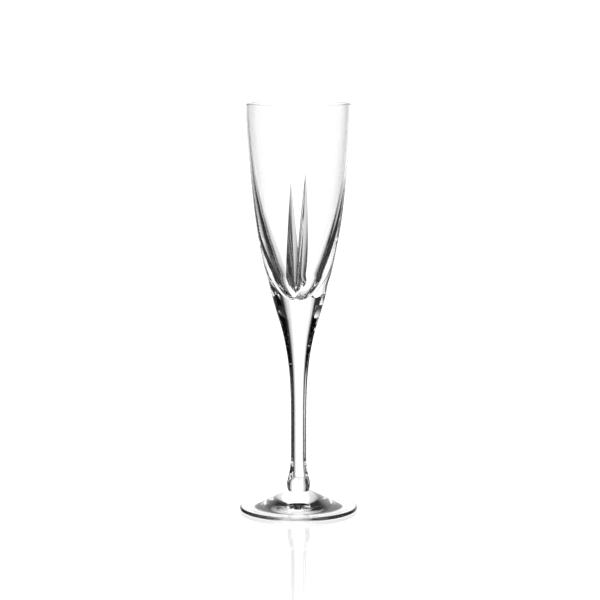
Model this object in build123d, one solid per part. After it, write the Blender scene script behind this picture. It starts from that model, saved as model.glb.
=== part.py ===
from build123d import *
import os
from math import cos, radians, sin

# A champagne flute in clear cut crystal: a bowl, a stem and a foot, three pieces of glass
# joined hot, one standing on the other. Millimetres and degrees, +Z up. The origin is the
# centre of the foot on the table. The first cut of the bowl stands 30 degrees from +X towards +Y.

# Foot: a pressed disc with a flared neck, slightly hollow underneath
FOOT_RADIUS = 36.6
FOOT_EDGE = 2.3          # thickness of the round edge
FOOT_HEIGHT = 12.0       # from the table to the joint under the stem
REST_RING_INNER = 30.0   # the flat ring that the glass stands on runs from here to the edge
FOOT_HOLLOW = 1.8        # rise of the underside at the centre
# Top line of the foot between the neck and the edge, as shares of the way out and the way up
FOOT_LINE = [(0.093, 0.876), (0.190, 0.732), (0.329, 0.515), (0.467, 0.320), (0.606, 0.155), (0.744, 0.041)]

# Stem: four facets between ridges, with a round knuckle at its lower end
STEM_LENGTH = 108.0
KNUCKLE_RADIUS = 7.2
KNUCKLE_SWELL = 0.7      # how far the knuckle stands out past its joint with the foot
KNUCKLE_RISE = 4.0       # from that joint up to the knuckle's full width
WAIST_RADIUS = 4.9       # across the ridges, at the slimmest stretch
STEM_TOP_RADIUS = 12.8   # across the ridges, at the joint under the bowl
LOWER_FLARE = 22.0       # length over which the stem widens down to the knuckle
LOWER_POWER = 2.2
UPPER_FLARE = 66.0       # length over which it widens up to the bowl
UPPER_POWER = 2.8
FACET_SHARE = 0.88       # middle of a facet over the ridge, as a share of the radius

# Bowl: a tall tulip with a thin lip and a thick solid bottom
BOWL_HEIGHT = 132.0
RIM_RADIUS = 32.1
RIM_WALL = 1.0
CAVITY_FLOOR = 13.0      # from the joint up to the bottom of the cavity
FACET_FADE = 28.0        # the facets run this far up into the bowl
FADE_POWER = 3
# Outer line, as shares of the height and of the way out
OUTER_LINE = [(0.0, 0.0), (0.17, 0.323), (0.40, 0.645), (0.70, 0.878), (1.0, 1.0)]
# Cavity: the bottom as shares of its depth and of the mouth, and the glass left outside it above
CAVITY_LINE = [(0.0, 0.0), (0.03, 0.186), (0.12, 0.366), (0.30, 0.606)]
WALL_LINE = [(0.45, 3.5), (0.62, 2.0), (0.80, 1.4), (0.92, 1.1)]

# Four wedge cuts in the lower half of the bowl, one over each ridge of the stem
CUT_COUNT = 4
CUT_START = 30.0         # bearing of the first cut, from +X
CUT_TIP = 87.0           # height of the upper point over the joint
CUT_END = 14.5           # height of the rounded lower end over the joint
CUT_DEPTH = 4.3          # below the round surface, near the lower end
CUT_SLOPE = 50.0         # angle of each flank from the radius
# Floor of a cut: shares of the way down from the tip, and of the depth
CUT_LINE = [(0.10, 0.13), (0.28, 0.36), (0.52, 0.66), (0.76, 0.95), (0.90, 1.05)]
CUT_LEAD = 6.0           # the wheel leaves the glass this far above the tip
CUT_CLEAR = 1.0          # and stands this far clear of it at the lower end
LEAD_CLEAR = 0.3         # and this far at the upper one

# Heights that follow
STEM_JOINT = FOOT_HEIGHT + STEM_LENGTH
RIM = STEM_JOINT + BOWL_HEIGHT
LIP = RIM_WALL / 2
ROUND_FROM = STEM_JOINT + FACET_FADE
SEAM_RADIUS = KNUCKLE_RADIUS - KNUCKLE_SWELL
KNUCKLE_MIDDLE = FOOT_HEIGHT + KNUCKLE_RISE
KNUCKLE_TOP = FOOT_HEIGHT + 2 * KNUCKLE_RISE
WAIST_TOP = STEM_JOINT - UPPER_FLARE
WAIST_BOTTOM = FOOT_HEIGHT + LOWER_FLARE
FACET_PITCH = 360 / CUT_COUNT
HALVING_LIMIT = 1e-9


def polar(radius, angle, height):
    """The point at a radius, an angle about +Z and a height."""
    return Vector(radius * cos(radians(angle)), radius * sin(radians(angle)), height)


def stem_radius(height):
    """Radius across the ridges: a slim waist that flares up to the bowl and down to the knuckle."""
    up = max(0.0, (height - WAIST_TOP) / UPPER_FLARE)
    down = max(0.0, (WAIST_BOTTOM - height) / LOWER_FLARE)
    top_growth = (STEM_TOP_RADIUS - WAIST_RADIUS) * up ** UPPER_POWER
    foot_growth = 2 * (KNUCKLE_RADIUS - WAIST_RADIUS) * down ** LOWER_POWER
    return WAIST_RADIUS + top_growth + foot_growth


def bowl_outline():
    """Outer line of the bowl from the joint up to the lip, in the XZ plane."""
    growth = RIM_RADIUS - STEM_TOP_RADIUS
    lean = (STEM_TOP_RADIUS - WAIST_RADIUS) * UPPER_POWER / UPPER_FLARE
    points = [(STEM_TOP_RADIUS + growth * out, 0, STEM_JOINT + BOWL_HEIGHT * up) for up, out in OUTER_LINE]
    return Spline(*points, tangents=[(lean, 0, 1), (0, 0, 1)])


def outline_point(outline, height):
    """The point of a rising outline at a height, found by halving."""
    low, high = 0.0, 1.0
    while high - low > HALVING_LIMIT:
        middle = (low + high) / 2
        if (outline @ middle).Z < height:
            low = middle
        else:
            high = middle
    return outline @ low


def section(radius, share, height):
    """A section with one gently bowed side between each two ridges, a circle where the share is 1."""
    sides = []
    for index in range(CUT_COUNT):
        start = CUT_START + index * FACET_PITCH
        ridge = polar(radius, start, height)
        middle = polar(radius * share, start + FACET_PITCH / 2, height)
        sides.append(ThreePointArc(ridge, middle, polar(radius, start + FACET_PITCH, height)))
    return make_face(sides)


def blank(outline):
    """Faceted glass from the joint over the foot up to where the bowl is round."""
    heights = [FOOT_HEIGHT + LOWER_FLARE * share for share in (0.0, 0.15, 0.3, 0.45, 0.65, 0.9)]
    heights += [WAIST_TOP + UPPER_FLARE * share for share in (0.15, 0.4, 0.6, 0.75, 0.88)]
    sections = [section(stem_radius(height), FACET_SHARE, height) for height in heights]
    for rise in (0.0, 0.25, 0.5, 0.75, 1.0):
        height = STEM_JOINT + FACET_FADE * rise
        share = FACET_SHARE + (1 - FACET_SHARE) * rise ** FADE_POWER
        sections.append(section(outline_point(outline, height).X, share, height))
    return loft(sections)


def round_bowl(outline):
    """The round part of the bowl, solid, with the lip's round edge."""
    start = outline_point(outline, ROUND_FROM)
    finish = Vector(RIM_RADIUS, 0, RIM - LIP)
    wall = [start]
    for share in (0.2, 0.4, 0.6, 0.8):
        wall.append(outline_point(outline, ROUND_FROM + (RIM - LIP - ROUND_FROM) * share))
    wall.append(finish)
    crest = Vector(RIM_RADIUS - LIP, 0, RIM)
    inside = Vector(RIM_RADIUS - RIM_WALL, 0, RIM - LIP)
    first = (outline_point(outline, ROUND_FROM + LIP) - start).normalized()
    lines = [
        Spline(*wall, tangents=[first, (0, 0, 1)]),
        ThreePointArc(finish, crest, inside),
        Polyline(inside, (0, 0, RIM - LIP), (0, 0, ROUND_FROM), start),
    ]
    return revolve(make_face(lines), Axis.Z)


def cavity(outline):
    """The hollow of the bowl: a cone that closes to a small round bottom in thick glass."""
    mouth = RIM_RADIUS - RIM_WALL
    top = RIM - LIP
    floor = STEM_JOINT + CAVITY_FLOOR
    points = [(mouth * out, 0, floor + (top - floor) * up) for up, out in CAVITY_LINE]
    for up, wall in WALL_LINE:
        surface = outline_point(outline, floor + (top - floor) * up)
        points.append((surface.X - wall, 0, surface.Z))
    points.append((mouth, 0, top))
    lines = [
        Spline(*points, tangents=[(1, 0, 0), (0, 0, 1)]),
        Polyline(points[-1], (0, 0, top), points[0]),
    ]
    return revolve(make_face(lines), Axis.Z)


def cut_tool(outline):
    """One wedge cut: the outline of its floor, slid outwards along both flanks."""
    above = outline_point(outline, STEM_JOINT + CUT_TIP + CUT_LEAD)
    floor = [Vector(above.X + LEAD_CLEAR, 0, above.Z), outline_point(outline, STEM_JOINT + CUT_TIP)]
    for share, depth in CUT_LINE:
        surface = outline_point(outline, STEM_JOINT + CUT_TIP - (CUT_TIP - CUT_END) * share)
        floor.append(Vector(surface.X - CUT_DEPTH * depth, 0, surface.Z))
    low = floor[-1]
    end = outline_point(outline, STEM_JOINT + CUT_END)
    out = Vector(end.X + CUT_CLEAR, 0, end.Z)
    clear = RIM_RADIUS + CUT_CLEAR
    lines = [
        Spline(*floor),
        Spline(low, out, tangents=[low - floor[-2], (1, 0, 0)]),
        Polyline(out, (clear, 0, out.Z), (clear, 0, floor[0].Z), floor[0]),
    ]
    side = make_face(lines)
    reach = (clear - low.X) / sin(radians(CUT_SLOPE))
    flanks = []
    for turn in (1, -1):
        slide = Vector(cos(radians(CUT_SLOPE)), turn * sin(radians(CUT_SLOPE)), 0)
        flanks.append(extrude(side, amount=reach, dir=slide))
    return flanks[0] + flanks[1]


def knuckle_blank():
    """What the stem is turned to before its facets are pressed: the knuckle, and open above it."""
    clear = 2 * STEM_TOP_RADIUS
    seam = Vector(SEAM_RADIUS, 0, FOOT_HEIGHT)
    widest = Vector(KNUCKLE_RADIUS, 0, KNUCKLE_MIDDLE)
    lines = [
        TangentArc(widest, seam, tangent=(0, 0, -1)),
        Polyline(widest, (KNUCKLE_RADIUS, 0, KNUCKLE_TOP), (clear, 0, KNUCKLE_TOP), (clear, 0, STEM_JOINT)),
        Polyline((clear, 0, STEM_JOINT), (0, 0, STEM_JOINT), (0, 0, FOOT_HEIGHT), seam),
    ]
    return revolve(make_face(lines), Axis.Z)


def foot():
    """The disc with its neck, round edge, flat rest ring and shallow hollow."""
    bead = FOOT_EDGE / 2
    seam = Vector(SEAM_RADIUS, 0, FOOT_HEIGHT)
    edge_top = Vector(FOOT_RADIUS - bead, 0, FOOT_EDGE)
    top_line = [seam]
    for out, up in FOOT_LINE:
        top_line.append(Vector(seam.X + (edge_top.X - seam.X) * out, 0, edge_top.Z + (seam.Z - edge_top.Z) * up))
    top_line.append(edge_top)
    edge_out = Vector(FOOT_RADIUS, 0, bead)
    edge_low = Vector(FOOT_RADIUS - bead, 0, 0)
    ring = Vector(REST_RING_INNER, 0, 0)
    hollow = Vector(0, 0, FOOT_HOLLOW)
    lines = [
        Spline(*top_line, tangents=[(1, 0, -0.5), (1, 0, 0)]),
        ThreePointArc(edge_top, edge_out, edge_low),
        Line(edge_low, ring),
        TangentArc(hollow, ring, tangent=(1, 0, 0)),
        Polyline(hollow, (0, 0, FOOT_HEIGHT), seam),
    ]
    return revolve(make_face(lines), Axis.Z)


outer = bowl_outline()
glass = blank(outer)
joint_plane = Plane.XY.offset(STEM_JOINT)

bowl = split(glass, bisect_by=joint_plane, keep=Keep.TOP) + round_bowl(outer) - cavity(outer)
tool = cut_tool(outer)
for index in range(CUT_COUNT):
    bowl -= tool.rotate(Axis.Z, CUT_START + index * FACET_PITCH)

stem = split(glass, bisect_by=joint_plane, keep=Keep.BOTTOM) & knuckle_blank()

os.makedirs("parts", exist_ok=True)
for name, piece in {"bowl": bowl, "stem": stem, "foot": foot()}.items():
    export_step(piece, os.path.join("parts", name + ".step"))
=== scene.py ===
from math import asin, atan2, cos, degrees, hypot, pi, radians, sin, sqrt, tan
import bmesh
import bpy
import numpy as np
from mathutils import Matrix, Vector


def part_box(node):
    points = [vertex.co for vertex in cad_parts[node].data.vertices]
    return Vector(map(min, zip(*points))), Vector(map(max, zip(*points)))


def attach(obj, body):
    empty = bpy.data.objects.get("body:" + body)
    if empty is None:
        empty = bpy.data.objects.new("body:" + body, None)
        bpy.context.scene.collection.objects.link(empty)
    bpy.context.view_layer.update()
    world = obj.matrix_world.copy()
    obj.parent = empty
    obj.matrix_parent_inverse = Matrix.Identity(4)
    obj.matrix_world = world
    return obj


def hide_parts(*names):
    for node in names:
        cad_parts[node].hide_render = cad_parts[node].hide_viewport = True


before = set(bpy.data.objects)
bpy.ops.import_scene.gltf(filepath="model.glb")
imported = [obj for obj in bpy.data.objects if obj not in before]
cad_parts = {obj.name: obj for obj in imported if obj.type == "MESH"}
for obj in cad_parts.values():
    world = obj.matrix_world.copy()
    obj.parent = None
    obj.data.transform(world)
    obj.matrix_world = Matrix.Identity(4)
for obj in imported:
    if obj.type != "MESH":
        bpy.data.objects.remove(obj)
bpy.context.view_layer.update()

# ---- Foot --------------------------------------------------------------------------------------
# A disc pressed from clear crystal, with a short neck, a fire-polished edge and a slightly hollow
# underside, so that it stands on a ring. The neck's top is the hot joint with the stem.
foot_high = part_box("foot")[1]
foot_radius = foot_high.x
foot_height = foot_high.z
foot_edge = 0.0023
seam_radius = 0.0065
foot_slope = (
    (0.0092, 0.0108), (0.012, 0.0094), (0.016, 0.0073), (0.020, 0.0054),
    (0.024, 0.0038), (0.028, 0.0027), (0.031, 0.00235),
)
neck_direction = (1, -0.5)
plate_direction = (1, -0.01)
rest_ring_inner = 0.030
foot_hollow = 0.0018
round_steps = 192
top_points = 90
edge_points = 17
ring_points = 6
hollow_points = 30
weld = 1e-7


def smooth_line(points, start, finish, count):
    """Points along a smooth line through the given ones, with the directions at its ends."""
    points = np.array(points, float)
    gaps = np.linalg.norm(np.diff(points, axis=0), axis=1)
    system = np.eye(len(points))
    slopes = np.zeros_like(points)
    slopes[0] = np.array(start) / np.linalg.norm(start)
    slopes[-1] = np.array(finish) / np.linalg.norm(finish)
    for i in range(1, len(points) - 1):
        before, after = gaps[i - 1], gaps[i]
        rise_before = (points[i] - points[i - 1]) / before
        rise_after = (points[i + 1] - points[i]) / after
        system[i, i - 1:i + 2] = after, 2 * (before + after), before
        slopes[i] = 3 * (after * rise_before + before * rise_after)
    slopes = np.linalg.solve(system, slopes)
    ends = np.concatenate(([0], np.cumsum(gaps)))
    line = []
    for place in np.linspace(0, ends[-1], count):
        i = min(int(np.searchsorted(ends, place, "right")) - 1, len(gaps) - 1)
        t = (place - ends[i]) / gaps[i]
        between = (1 + 2 * t) * (1 - t) ** 2 * points[i] + t * t * (3 - 2 * t) * points[i + 1]
        leaving = t * (1 - t) ** 2 * slopes[i] - t * t * (1 - t) * slopes[i + 1]
        line.append(between + gaps[i] * leaving)
    return np.array(line)


def arc(centre, radius, start, finish, count):
    """Points of a round stretch between two angles, in degrees from outwards."""
    turn = np.radians(np.linspace(start, finish, count))
    return np.column_stack((centre[0] + radius * np.cos(turn), centre[1] + radius * np.sin(turn)))


def turned(line, steps):
    """A skin turned about +Z from a line of (radius, height) points."""
    bm = bmesh.new()
    chain = [bm.verts.new((max(radius, 0), 0, height)) for radius, height in line]
    edges = [bm.edges.new(pair) for pair in zip(chain, chain[1:])]
    bmesh.ops.spin(
        bm, geom=chain + edges, cent=(0, 0, 0), axis=(0, 0, 1),
        angle=2 * pi, steps=steps, use_merge=True,
    )
    bmesh.ops.remove_doubles(bm, verts=bm.verts, dist=weld)
    return bm


def fuse(bm, height):
    """Closes a skin at a hot joint. The face inside the glass gets the second material."""
    at_joint = 1e-5
    rim_edges = [
        edge for edge in bm.edges if edge.is_boundary and abs(edge.verts[0].co.z - height) < at_joint
    ]
    face = bmesh.ops.contextual_create(bm, geom=rim_edges)["faces"][0]
    face.material_index = 1
    for edge in rim_edges:
        edge.smooth = False


def finish_glass(bm, name, node):
    """Makes the piece from its skin, and puts it in place of the CAD node."""
    bmesh.ops.recalc_face_normals(bm, faces=bm.faces)
    for face in bm.faces:
        face.smooth = True
    mesh = bpy.data.meshes.new(name)
    bm.to_mesh(mesh)
    bm.free()
    mesh.materials.append(crystal)
    mesh.materials.append(joint_glass)
    piece = bpy.data.objects.new(name, mesh)
    bpy.context.scene.collection.objects.link(piece)
    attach(piece, "root")
    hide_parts(node)
    return piece


class Shade:
    """A socket in a node tree, so that shader maths reads as ordinary sums."""

    def __init__(self, tree, socket=None):
        self.tree = tree
        self.socket = socket

    def add(self, kind, settings=(), inputs=(), output=0):
        """Any node: its type, its settings, and the values or links of its sockets."""
        node = self.tree.nodes.new(kind)
        for name, value in dict(settings).items():
            setattr(node, name, value)
        for name, value in dict(inputs).items():
            if isinstance(value, Shade):
                self.tree.links.new(value.socket, node.inputs[name])
            else:
                node.inputs[name].default_value = value
        return Shade(self.tree, node.outputs[output] if node.outputs else None)

    def maths(self, operation, first, second):
        return self.add("ShaderNodeMath", {"operation": operation}, {0: first, 1: second})

    def __add__(self, other):
        return self.maths("ADD", self, other)

    def __radd__(self, other):
        return self.maths("ADD", other, self)

    def __sub__(self, other):
        return self.maths("SUBTRACT", self, other)

    def __rsub__(self, other):
        return self.maths("SUBTRACT", other, self)

    def __mul__(self, other):
        return self.maths("MULTIPLY", self, other)

    def __rmul__(self, other):
        return self.maths("MULTIPLY", other, self)

    def __truediv__(self, other):
        return self.maths("DIVIDE", self, other)

    def __rtruediv__(self, other):
        return self.maths("DIVIDE", other, self)

    def __pow__(self, power):
        return self.maths("POWER", self, power)


def new_material(name):
    material = bpy.data.materials.new(name)
    material.use_nodes = True
    material.node_tree.nodes.clear()
    return material, Shade(material.node_tree)


crystal, tree = new_material("crystal")
place = tree.add("ShaderNodeTexCoord", output="Object")
ripple = tree.add("ShaderNodeTexNoise", inputs={"Vector": place, "Scale": 40.0, "Detail": 1.0})
fire_polish = tree.add("ShaderNodeBump", inputs={
    "Strength": 0.006,
    "Distance": 0.001,
    "Height": ripple,
})
clear_glass = tree.add("ShaderNodeBsdfPrincipled", inputs={
    "Base Color": (1, 1, 1, 1),
    "Roughness": 0.0,
    "IOR": 1.53,
    "Transmission Weight": 1.0,
    "Normal": fire_polish,
})
tree.add("ShaderNodeOutputMaterial", inputs={"Surface": clear_glass})

joint_glass, tree = new_material("joint_glass")
unseen = tree.add("ShaderNodeBsdfPrincipled", inputs={"Base Color": (1, 1, 1, 1), "Alpha": 0.0})
tree.add("ShaderNodeOutputMaterial", inputs={"Surface": unseen})

bead = foot_edge / 2
edge_top = (foot_radius - bead, foot_edge)
hollow_ball = (rest_ring_inner ** 2 + foot_hollow ** 2) / (2 * foot_hollow)
hollow_turn = degrees(asin(rest_ring_inner / hollow_ball))
foot_top = [(seam_radius, foot_height), *foot_slope, edge_top]
foot_line = np.concatenate([
    smooth_line(foot_top, neck_direction, plate_direction, top_points)[:-1],
    arc((foot_radius - bead, bead), bead, 90, -90, edge_points),
    np.linspace((foot_radius - bead, 0), (rest_ring_inner, 0), ring_points)[1:-1],
    arc((0, foot_hollow - hollow_ball), hollow_ball, 90 - hollow_turn, 90, hollow_points),
])
foot_skin = turned(foot_line, round_steps)
fuse(foot_skin, foot_height)
finish_glass(foot_skin, "crystal_foot", "foot")

# ---- Stem --------------------------------------------------------------------------------------
# Solid crystal drawn out and pressed to four facets with soft ridges, ending below in a round
# knuckle. Both ends are hot joints, polished so that only the lower one shows.
stem_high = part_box("stem")[1]
joint = stem_high.z
facet_count = 4
first_ridge = radians(30)
pitch = 2 * pi / facet_count
knuckle_radius = 0.0072
knuckle_middle = 0.016
waist_radius = 0.0049
stem_top_radius = 0.0128
lower_flare = 0.022
lower_power = 2.2
upper_flare = 0.066
upper_power = 2.8
facet_share = 0.88
crease = 0.00015
crease_low = 0.0135
crease_high = 0.0205
ridge_round = radians(2.5)
nearly_round = 0.9999
thin = 0.00002
neck_rows = 8
crease_rows = 70
drawn_rows = 90
# Degrees from a ridge, close together beside it
stem_columns = (0, 1, 2, 3, 4.5, 6.5, 9, 12, 15.5, 19, 23, 27, 31, 35.5, 40)
swell = knuckle_radius - seam_radius
barrel = (swell ** 2 + (knuckle_middle - foot_height) ** 2) / (2 * swell)


def ridge_radius(height):
    """Radius of the stem across its ridges: a waist that flares both ways."""
    up = max(0.0, (height - joint + upper_flare) / upper_flare)
    down = max(0.0, (foot_height + lower_flare - height) / lower_flare)
    spread = 2 * (knuckle_radius - waist_radius) * down ** lower_power
    return waist_radius + (stem_top_radius - waist_radius) * up ** upper_power + spread


def facet_radius(ridge, share, angle):
    """Radius at an angle about +Z of a section with gently bowed sides between soft ridges."""
    if share > nearly_round:
        return ridge
    from_ridge = abs((angle - first_ridge + pitch / 2) % pitch - pitch / 2)
    off = pitch / 2 - hypot(from_ridge, ridge_round)
    centre = ridge * (1 - share ** 2) / (2 * (cos(pitch / 2) - share))
    bow = ridge * share - centre
    return centre * cos(off) + sqrt(bow ** 2 - (centre * sin(off)) ** 2)


def stem_radius(angle, height):
    """Radius of the stem: its facets, rounded off below to the knuckle's turned shape."""
    facet = facet_radius(ridge_radius(height), facet_share, angle)
    if height > joint - upper_flare:
        return facet
    below = max(0.0, knuckle_middle - height)
    knuckle = knuckle_radius - barrel + sqrt(barrel ** 2 - below ** 2)
    return (facet + knuckle - hypot(facet - knuckle, crease)) / 2


def all_around(columns):
    """Angles of all the columns: the given ones at both sides of each ridge, and each middle."""
    half = np.radians(columns)
    one = np.concatenate([half, [pitch / 2], pitch - half[:0:-1]])
    return np.concatenate([one + first_ridge + pitch * index for index in range(facet_count)])


def set_ring(verts, height, radius_at):
    """Moves a ring of vertices to a height, and each to the radius at its angle."""
    for vert in verts:
        angle = atan2(vert.co.y, vert.co.x)
        radius = radius_at(angle)
        vert.co = (radius * cos(angle), radius * sin(angle), height)


def start_ring(bm, angles, height, radius_at):
    """A closed ring of edges at the angles about +Z."""
    verts = [bm.verts.new((cos(angle), sin(angle), 0)) for angle in angles]
    set_ring(verts, height, radius_at)
    return [bm.edges.new(pair) for pair in zip(verts, verts[1:] + verts[:1])]


def draw_on(bm, ring, height, radius_at):
    """Extrudes a ring to the next height and radius, and gives back the new ring."""
    grown = bmesh.ops.extrude_edge_only(bm, edges=ring)["geom"]
    set_ring([item for item in grown if isinstance(item, bmesh.types.BMVert)], height, radius_at)
    return [item for item in grown if isinstance(item, bmesh.types.BMEdge)]


stem_heights = np.concatenate([
    np.linspace(foot_height, crease_low, neck_rows)[:-1],
    np.linspace(crease_low, crease_high, crease_rows)[:-1],
    np.linspace(crease_high, joint - thin, drawn_rows),
    [joint],
])
stem_angles = all_around(stem_columns)
stem_skin = bmesh.new()
ring = start_ring(stem_skin, stem_angles, foot_height, lambda angle: stem_radius(angle, foot_height))
for height in stem_heights[1:]:
    ring = draw_on(stem_skin, ring, height, lambda angle: stem_radius(angle, height))
fuse(stem_skin, foot_height)
fuse(stem_skin, joint)
finish_glass(stem_skin, "crystal_stem", "stem")

# ---- Bowl --------------------------------------------------------------------------------------
# Blown crystal, thin at the fire-polished lip and thick at the bottom, with four wedge cuts that
# end in a rounded lip over the ridges of the stem. The cuts are ground last, and polished.
bowl_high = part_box("bowl")[1]
rim = bowl_high.z
rim_radius = bowl_high.x
bowl_height = rim - joint
rim_wall = 0.0010
outer_shares = ((0, 0), (0.17, 0.323), (0.40, 0.645), (0.70, 0.878), (1, 1))
cavity_floor = 0.013
cavity_low = ((0, 0), (0.03, 0.186), (0.12, 0.366), (0.30, 0.606))
cavity_wall = ((0.45, 0.0035), (0.62, 0.0020), (0.80, 0.0014), (0.92, 0.0011))
facet_fade = 0.028
fade_power = 3
cut_tip = joint + 0.087
cut_end = joint + 0.0145
cut_depth = 0.0043
cut_shares = ((0.10, 0.13), (0.28, 0.36), (0.52, 0.66), (0.76, 0.95), (0.90, 1.05))
cut_slope = radians(50)
cut_reach = 0.014
cut_lead = 0.006
lead_clear = 0.0003
end_clear = 0.001
crisp = radians(8)
cut_weld = 1e-6
outline_points = 400
wall_rows = 130
lip_rows = 33
cavity_rows = 110
cut_rows = 90
cut_end_rows = 16
bowl_columns = (0, 1, 2, 3, 4.25, *np.arange(5.625, 45, 1.875))

growth = rim_radius - stem_top_radius
joint_slope = (stem_top_radius - waist_radius) * upper_power / upper_flare
outline = smooth_line(
    [(stem_top_radius + growth * out, joint + bowl_height * up) for up, out in outer_shares],
    (joint_slope, 1), (0, 1), outline_points,
)


def outline_at(height):
    return float(np.interp(height, outline[:, 1], outline[:, 0]))


def bowl_radius(angle, height):
    """Radius of the blown bowl: the stem's facets, which fade into a round."""
    fade = min(1.0, (height - joint) / facet_fade) ** fade_power
    return facet_radius(outline_at(height), facet_share + (1 - facet_share) * fade, angle)


lip = rim_wall / 2
mouth = rim_radius - rim_wall
floor_height = joint + cavity_floor
cavity_depth = rim - lip - floor_height
cavity_points = [(mouth * out, floor_height + cavity_depth * up) for up, out in cavity_low]
for up, wall in cavity_wall:
    level = floor_height + cavity_depth * up
    cavity_points.append((outline_at(level) - wall, level))
cavity_points.append((mouth, rim - lip))
cavity_line = smooth_line(cavity_points, (1, 0), (0, 1), cavity_rows)

bowl_angles = all_around(bowl_columns)
wall_heights = np.linspace(joint + thin, rim - lip, wall_rows)[:-1]
lip_line = arc((rim_radius - lip, rim - lip), lip, 0, 180, lip_rows)
bowl_skin = bmesh.new()
ring = start_ring(bowl_skin, bowl_angles, joint, lambda angle: bowl_radius(angle, joint))
for height in wall_heights:
    ring = draw_on(bowl_skin, ring, height, lambda angle: bowl_radius(angle, height))
for radius, height in np.concatenate([lip_line, cavity_line[::-1][1:]]):
    ring = draw_on(bowl_skin, ring, height, lambda angle: radius)
bmesh.ops.remove_doubles(bowl_skin, verts=bowl_skin.verts, dist=weld)
fuse(bowl_skin, joint)
bowl = finish_glass(bowl_skin, "crystal_bowl", "bowl")

cut_points = [
    (outline_at(cut_tip + cut_lead) + lead_clear, cut_tip + cut_lead),
    (outline_at(cut_tip), cut_tip),
]
for share, depth in cut_shares:
    level = cut_tip - (cut_tip - cut_end) * share
    cut_points.append((outline_at(level) - cut_depth * depth, level))
cut_floor = smooth_line(
    cut_points,
    np.subtract(cut_points[1], cut_points[0]), np.subtract(cut_points[-1], cut_points[-2]), cut_rows,
)
low_radius, low_height = cut_floor[-1]
swing = (outline_at(cut_end) + end_clear - low_radius, low_height - cut_end)
sweep = np.radians(np.linspace(0, 90, cut_end_rows))[1:]
cut_round = np.column_stack((
    low_radius + swing[0] * (1 - np.cos(sweep)), low_height - swing[1] * np.sin(sweep),
))

wheel_bm = bmesh.new()
chain = [
    wheel_bm.verts.new((radius, 0, height)) for radius, height in np.concatenate([cut_floor, cut_round])
]
floor_edges = [wheel_bm.edges.new(pair) for pair in zip(chain, chain[1:])]
sides = []
for side in (1, -1):
    grown = bmesh.ops.extrude_edge_only(wheel_bm, edges=floor_edges)["geom"]
    flank = [item for item in grown if isinstance(item, bmesh.types.BMVert)]
    slide = Vector((cos(cut_slope), side * sin(cut_slope), 0)) * cut_reach
    bmesh.ops.translate(wheel_bm, verts=flank, vec=slide)
    sides += [item for item in grown if isinstance(item, bmesh.types.BMEdge)]
bmesh.ops.bridge_loops(wheel_bm, edges=sides)
bmesh.ops.holes_fill(wheel_bm, edges=wheel_bm.edges)
bmesh.ops.recalc_face_normals(wheel_bm, faces=wheel_bm.faces)
bmesh.ops.rotate(
    wheel_bm, verts=wheel_bm.verts, cent=(0, 0, 0), matrix=Matrix.Rotation(first_ridge, 3, "Z"),
)
one_cut = list(wheel_bm.verts) + list(wheel_bm.edges) + list(wheel_bm.faces)
for index in range(1, facet_count):
    copy = bmesh.ops.duplicate(wheel_bm, geom=one_cut)["geom"]
    bmesh.ops.rotate(
        wheel_bm, verts=[item for item in copy if isinstance(item, bmesh.types.BMVert)],
        cent=(0, 0, 0), matrix=Matrix.Rotation(pitch * index, 3, "Z"),
    )
for face in wheel_bm.faces:
    face.smooth = True
wheel_mesh = bpy.data.meshes.new("wheel")
wheel_bm.to_mesh(wheel_mesh)
wheel_bm.free()
wheel = bpy.data.objects.new("wheel", wheel_mesh)
bpy.context.scene.collection.objects.link(wheel)
grinding = bowl.modifiers.new("wedge_cuts", "BOOLEAN")
grinding.operation = "DIFFERENCE"
grinding.solver = "EXACT"
grinding.object = wheel
bpy.context.view_layer.update()
ground = bowl.evaluated_get(bpy.context.evaluated_depsgraph_get())
cut_bowl = bpy.data.meshes.new_from_object(ground)
bowl.modifiers.clear()
bpy.data.objects.remove(wheel)
polished = bmesh.new()
polished.from_mesh(cut_bowl)
bmesh.ops.remove_doubles(polished, verts=polished.verts, dist=cut_weld)
for edge in polished.edges:
    if len(edge.link_faces) == 2:
        edge.smooth = edge.calc_face_angle() < crisp
polished.to_mesh(cut_bowl)
polished.free()
bowl.data = cut_bowl

# ---- Studio ------------------------------------------------------------------------------------
# Glass is shown in front of a bright window with dark flags at both sides, which draw its edges.
# The table is a pale gloss sheet. A window stands behind the glass for each side it is seen from.
studio_scene = bpy.context.scene
studio_scene.view_settings.view_transform = "Standard"
studio_scene.cycles.max_bounces = 24
studio_scene.cycles.transmission_bounces = 24
studio_scene.cycles.glossy_bounces = 8
studio_scene.cycles.transparent_max_bounces = 16

view_azimuth = 219
window_azimuth = 214
wide_opening = 22
narrow_opening = 12
side_azimuths = (45, 90, 0)
soft_edge = 4
glow_reach = 40
glow = 0.7
bright = 1.25
dark = 0.03
ceiling_starts = 30
ceiling_ends = 45

studio = bpy.data.worlds.new("studio")
studio_scene.world = studio
studio.use_nodes = True
studio.node_tree.nodes.clear()
sky = Shade(studio.node_tree)
direction = sky.add("ShaderNodeTexCoord", output="Generated")
split = sky.add("ShaderNodeSeparateXYZ", inputs={"Vector": direction})
along_x, along_y, along_z = [Shade(sky.tree, socket) for socket in split.socket.node.outputs]
level_length = (along_x * along_x + along_y * along_y) ** 0.5


def window(azimuth, full, gone, strength):
    """Light from behind the glass: full up to one angle off its middle, and gone at another."""
    across = along_y * cos(radians(azimuth)) - along_x * sin(radians(azimuth))
    return sky.add("ShaderNodeMapRange", {"interpolation_type": "SMOOTHSTEP"}, {
        "Value": across / level_length,
        "From Min": cos(radians(gone)),
        "From Max": cos(radians(full)),
        "To Max": strength,
    })


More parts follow.
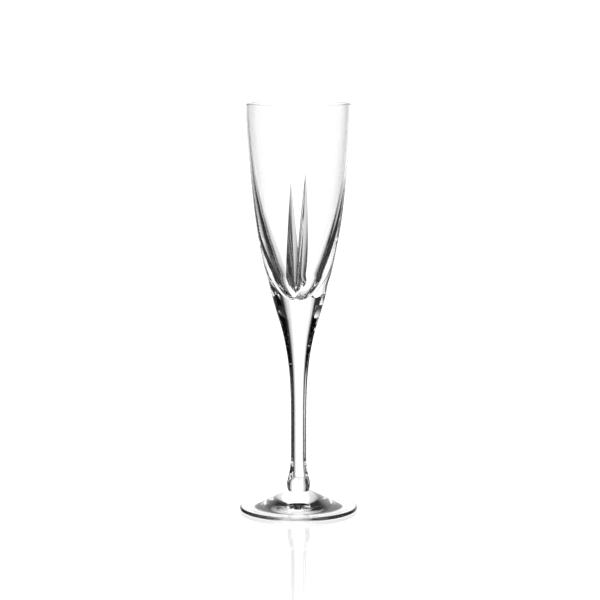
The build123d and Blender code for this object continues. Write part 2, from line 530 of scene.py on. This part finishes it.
light = window(window_azimuth, wide_opening - soft_edge, wide_opening + soft_edge, 1.0)
light = sky.maths("MAXIMUM", light, window(window_azimuth, wide_opening, glow_reach, glow))
for azimuth in side_azimuths:
    opening = window(azimuth, narrow_opening - soft_edge, narrow_opening + soft_edge, 1.0)
    light = sky.maths("MAXIMUM", light, opening)
below_ceiling = sky.add("ShaderNodeMapRange", {"interpolation_type": "SMOOTHSTEP"}, {
    "Value": along_z,
    "From Min": sin(radians(ceiling_starts)),
    "From Max": sin(radians(ceiling_ends)),
    "To Min": 1.0,
    "To Max": 0.0,
})
backdrop = sky.add("ShaderNodeBackground", inputs={
    "Color": (1, 1, 1, 1),
    "Strength": dark + light * below_ceiling * (bright - dark),
})
sky.add("ShaderNodeOutputWorld", inputs={"Surface": backdrop})

table_radius = 0.45
table_drop = 0.0002
table_sides = 96
mirror_full = 0.12
mirror_gone = 0.42
mirror_strength = 0.35
gloss_share = 0.9
table_bm = bmesh.new()
bmesh.ops.create_circle(table_bm, cap_ends=True, segments=table_sides, radius=table_radius)
bmesh.ops.translate(table_bm, verts=table_bm.verts, vec=(0, 0, -table_drop))
table_mesh = bpy.data.meshes.new("table")
table_bm.to_mesh(table_mesh)
table_bm.free()
table = bpy.data.objects.new("table", table_mesh)
studio_scene.collection.objects.link(table)
gloss_sheet, tree = new_material("gloss_sheet")
spot = tree.add("ShaderNodeTexCoord", output="Object")
away = tree.add("ShaderNodeVectorMath", {"operation": "LENGTH"}, {"Vector": spot}, output="Value")
reach = tree.add("ShaderNodeMapRange", {"interpolation_type": "SMOOTHSTEP"}, {
    "Value": away,
    "From Min": mirror_full,
    "From Max": mirror_gone,
    "To Min": mirror_strength,
    "To Max": 0.0,
})
no_sheet = tree.add("ShaderNodeBsdfTransparent")
gloss = tree.add("ShaderNodeBsdfGlossy", inputs={"Color": (1, 1, 1, 1), "Roughness": 0.02})
matt = tree.add("ShaderNodeBsdfDiffuse", inputs={"Color": (0.95, 0.95, 0.95, 1)})
sheet = tree.add("ShaderNodeMixShader", inputs={0: gloss_share, 1: matt, 2: gloss})
faded = tree.add("ShaderNodeMixShader", inputs={0: reach, 1: no_sheet, 2: sheet})
tree.add("ShaderNodeOutputMaterial", inputs={"Surface": faded})
table_mesh.materials.append(gloss_sheet)

eye_distance = 1.335
eye_height = 0.303
eye_pitch = radians(7.33)
lens = 131.1
aim_shift = 0.0009
film_width = 36
towards_eye = Vector((sin(radians(view_azimuth)), -cos(radians(view_azimuth)), 0))
to_the_right = Vector((cos(radians(view_azimuth)), sin(radians(view_azimuth)), 0))
camera_data = bpy.data.cameras.new("camera")
camera_data.lens = lens
camera_data.sensor_width = film_width
camera = bpy.data.objects.new("camera", camera_data)
studio_scene.collection.objects.link(camera)
camera.location = towards_eye * eye_distance + Vector((0, 0, eye_height))
look = to_the_right * aim_shift - towards_eye * eye_distance
look.z = -tan(eye_pitch) * eye_distance
camera.rotation_euler = look.to_track_quat("-Z", "Y").to_euler()
studio_scene.camera = camera
